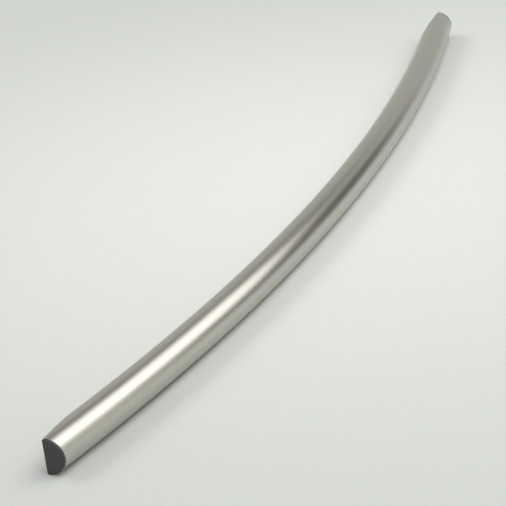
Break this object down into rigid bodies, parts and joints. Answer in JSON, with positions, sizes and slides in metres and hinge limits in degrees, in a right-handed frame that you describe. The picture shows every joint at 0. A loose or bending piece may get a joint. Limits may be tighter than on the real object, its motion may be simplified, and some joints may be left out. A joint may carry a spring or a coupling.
{
  "type": "refrigerator door handle",
  "caption": "Bowed round steel tube handle with flat-cut ends, dark moulded end caps and hidden blocks that slip over door studs and lock with set screws.",
  "frame": {"origin": "midway between the two door studs, on the door skin's plane and on the handle's middle plane", "axes": "+X along the handle towards its upper end, +Y square to the door and into it, so the bow's front faces -Y, +Z sideways across the grip, with the set screws on the -Z side; the handle rests on its -Z side"},
  "size_m": [0.79, 0.0552, 0.025],
  "materials": {
    "brushed_bar": "satin, brushed lengthwise",
    "moulding": "fine texture, dark grey",
    "casting": "as cast",
    "black_screw": "black oxide",
    "plated_screw": "zinc plated"
  },
  "bodies": {
    "handle": {"handle_bar": "brushed_bar", "lower_end_cap": "moulding", "lower_mount_block": "casting", "lower_outer_foot_screw": "plated_screw", "lower_inner_foot_screw": "plated_screw", "upper_end_cap": "moulding", "upper_mount_block": "casting", "upper_outer_foot_screw": "plated_screw", "upper_inner_foot_screw": "plated_screw"},
    "lower_set_screw": {"lower_set_screw": "black_screw"},
    "upper_set_screw": {"upper_set_screw": "black_screw"}
  },
  "joints": [
    {"name": "lower_set_screw_travel", "type": "slide", "parent": "handle", "child": "lower_set_screw", "axis": [0, 0, 1], "range_m": [0, 0.00175]},
    {"name": "upper_set_screw_travel", "type": "slide", "parent": "handle", "child": "upper_set_screw", "axis": [0, 0, 1], "range_m": [0, 0.00175]}
  ]
}
